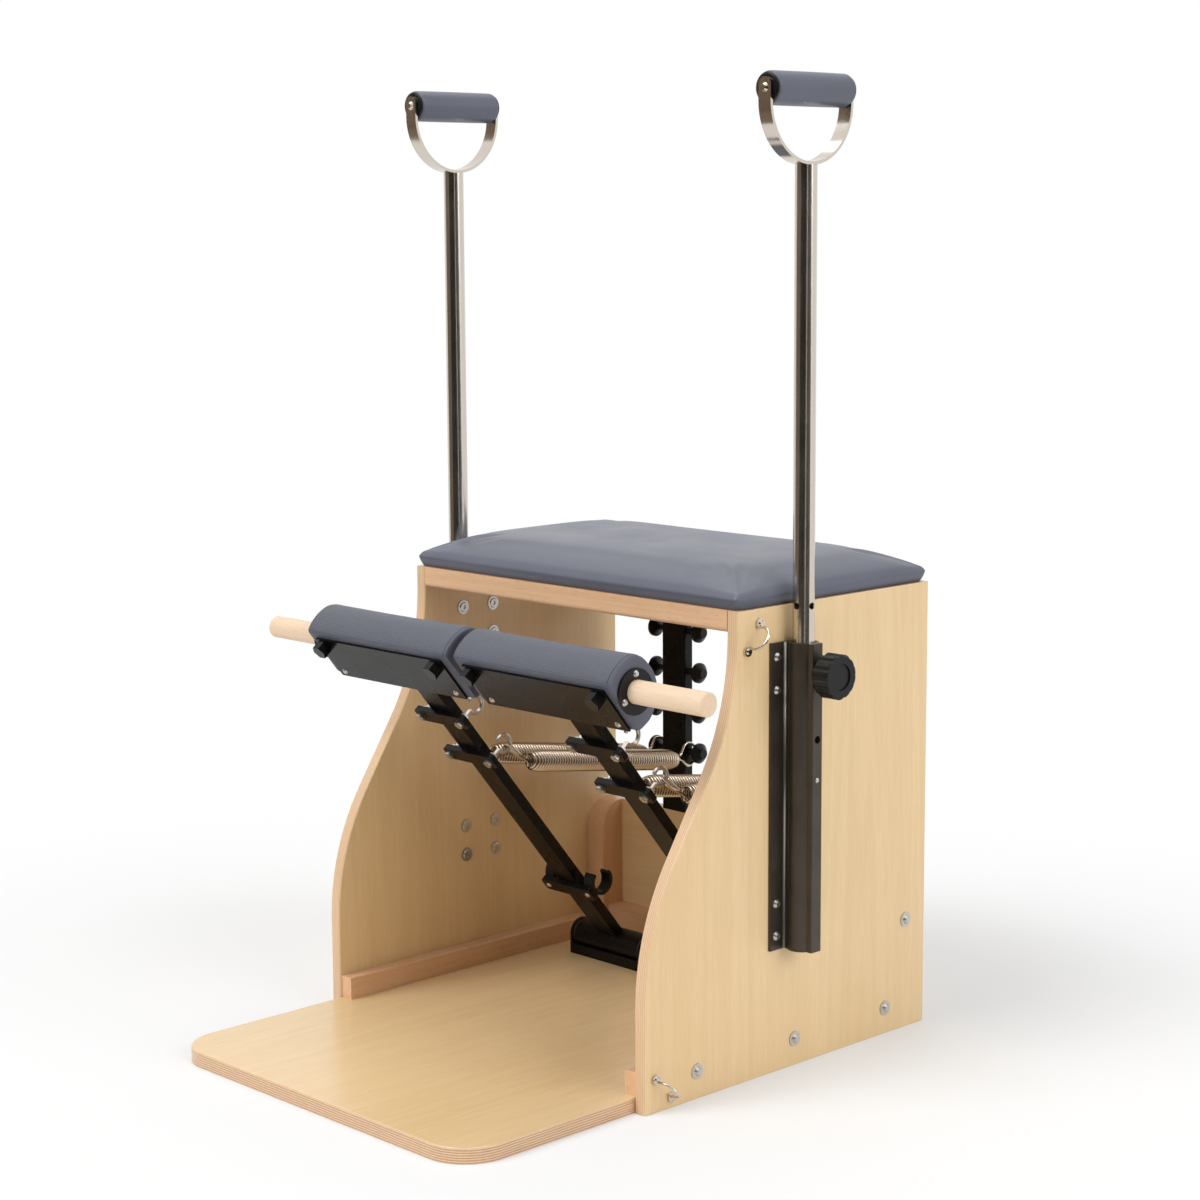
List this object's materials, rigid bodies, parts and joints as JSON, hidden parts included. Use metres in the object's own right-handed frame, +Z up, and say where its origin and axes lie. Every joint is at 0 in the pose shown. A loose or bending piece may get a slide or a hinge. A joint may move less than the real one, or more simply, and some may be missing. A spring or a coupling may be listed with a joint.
{
  "type": "pilates chair",
  "caption": "Plywood pilates chair with a padded seat, sprung twin pedals joined by a push dowel, and sliding U-shaped handles on chromed poles beside the seat.",
  "frame": {"origin": "on the floor, in the middle of the overall width and depth", "axes": "+X to the right seen from the front, -Y to the front where the pedals are, +Z up"},
  "size_m": [0.834, 0.826, 1.2698],
  "materials": {
    "laminate": "pale maple laminate, satin lacquer",
    "beech": "beech, satin lacquer",
    "dowel_beech": "bare sanded beech",
    "core_wood": "unfinished plywood",
    "vinyl": "blue-grey vinyl, fine grain",
    "black_steel": "black powder coat",
    "bracket_bronze": "dark bronze anodised",
    "black_plastic": "moulded black plastic",
    "nylon": "black nylon",
    "rubber": "black rubber",
    "zinc": "zinc plate",
    "nickel": "bright nickel"
  },
  "bodies": {
    "cabinet": {"base_board": "laminate", "base_cleats": "beech", "bracket_bolts": "zinc", "bracket_nuts": "zinc", "cabinet_bolts": "zinc", "front_top_rail": "beech", "left_inner_spring": "nickel", "left_outer_spring": "nickel", "left_pole_bracket": "bracket_bronze", "left_side_panel": "laminate", "pivot_axles": "zinc", "pivot_brackets": "black_steel", "pivot_screws": "zinc", "pole_bushes": "nylon", "rear_base_cleat": "beech", "rear_battens": "beech", "rear_board": "laminate", "rear_top_rail": "beech", "right_inner_spring": "nickel", "right_outer_spring": "nickel", "right_pole_bracket": "bracket_bronze", "right_side_panel": "laminate", "seat_board": "core_wood", "seat_cushion": "vinyl", "spring_columns": "black_steel", "spring_pegs": "black_plastic", "strap_hooks": "nickel"},
    "left_pedal": {"left_pedal_arm": "black_steel", "left_pedal_plate": "black_steel", "left_sleeve_bushes": "nylon", "left_eye_bolts": "zinc", "left_dowel_clips": "black_plastic", "left_pad_core": "core_wood", "left_pedal_pad": "vinyl", "left_dowel_flange": "black_plastic", "left_pedal_bumpers": "rubber", "left_pedal_screws": "zinc"},
    "left_carrier": {"left_pole_plug": "nylon"},
    "left_handle": {"left_pole": "nickel", "left_handle_strap": "nickel", "left_handle_grip": "vinyl", "left_grip_screws": "nickel"},
    "left_knob": {"left_lock_knob": "black_plastic"},
    "right_pedal": {"right_pedal_arm": "black_steel", "right_pedal_plate": "black_steel", "right_sleeve_bushes": "nylon", "right_eye_bolts": "zinc", "right_dowel_clips": "black_plastic", "right_pad_core": "core_wood", "right_pedal_pad": "vinyl", "right_dowel_flange": "black_plastic", "right_pedal_bumpers": "rubber", "right_pedal_screws": "zinc"},
    "right_carrier": {"right_pole_plug": "nylon"},
    "right_handle": {"right_pole": "nickel", "right_handle_strap": "nickel", "right_handle_grip": "vinyl", "right_grip_screws": "nickel"},
    "right_knob": {"right_lock_knob": "black_plastic"},
    "dowel": {"pedal_dowel": "dowel_beech"}
  },
  "joints": [
    {"name": "left_pedal_pivot", "type": "hinge", "parent": "cabinet", "child": "left_pedal", "pos_m": [-0.15, 0.2675, 0.048], "axis": [1, 0, 0], "range_deg": [0, 48.5], "stiffness_Nm_per_rad": 70, "springref_deg": -22.92, "deforming": ["left_inner_spring", "left_outer_spring"]},
    {"name": "right_pedal_pivot", "type": "hinge", "parent": "cabinet", "child": "right_pedal", "pos_m": [0.15, 0.2675, 0.048], "axis": [1, 0, 0], "range_deg": [0, 48.5], "stiffness_Nm_per_rad": 70, "springref_deg": -22.92, "deforming": ["right_inner_spring", "right_outer_spring"]},
    {"name": "dowel_slide", "type": "slide", "parent": "left_pedal", "child": "dowel", "axis": [1, 0, 0], "range_m": [0, 0.42]},
    {"name": "left_handle_slide", "type": "slide", "parent": "cabinet", "child": "left_carrier", "axis": [0, 0, 1], "range_m": [-0.085, 0.17]},
    {"name": "left_handle_turn", "type": "hinge", "parent": "left_carrier", "child": "left_handle", "pos_m": [-0.331, 0.1322, 0.265], "axis": [0, 0, 1], "range_deg": [-90, 90]},
    {"name": "left_lock_knob", "type": "hinge", "parent": "cabinet", "child": "left_knob", "pos_m": [-0.382, 0.1322, 0.5255], "axis": [1, 0, 0], "continuous": true},
    {"name": "right_handle_slide", "type": "slide", "parent": "cabinet", "child": "right_carrier", "axis": [0, 0, 1], "range_m": [-0.085, 0.17]},
    {"name": "right_handle_turn", "type": "hinge", "parent": "right_carrier", "child": "right_handle", "pos_m": [0.331, 0.1322, 0.265], "axis": [0, 0, 1], "range_deg": [-90, 90]},
    {"name": "right_lock_knob", "type": "hinge", "parent": "cabinet", "child": "right_knob", "pos_m": [0.382, 0.1322, 0.5255], "axis": [1, 0, 0], "continuous": true}
  ],
  "couplings": [
    {"joint": "right_pedal_pivot", "follows": "left_pedal_pivot", "ratio": 1}
  ]
}
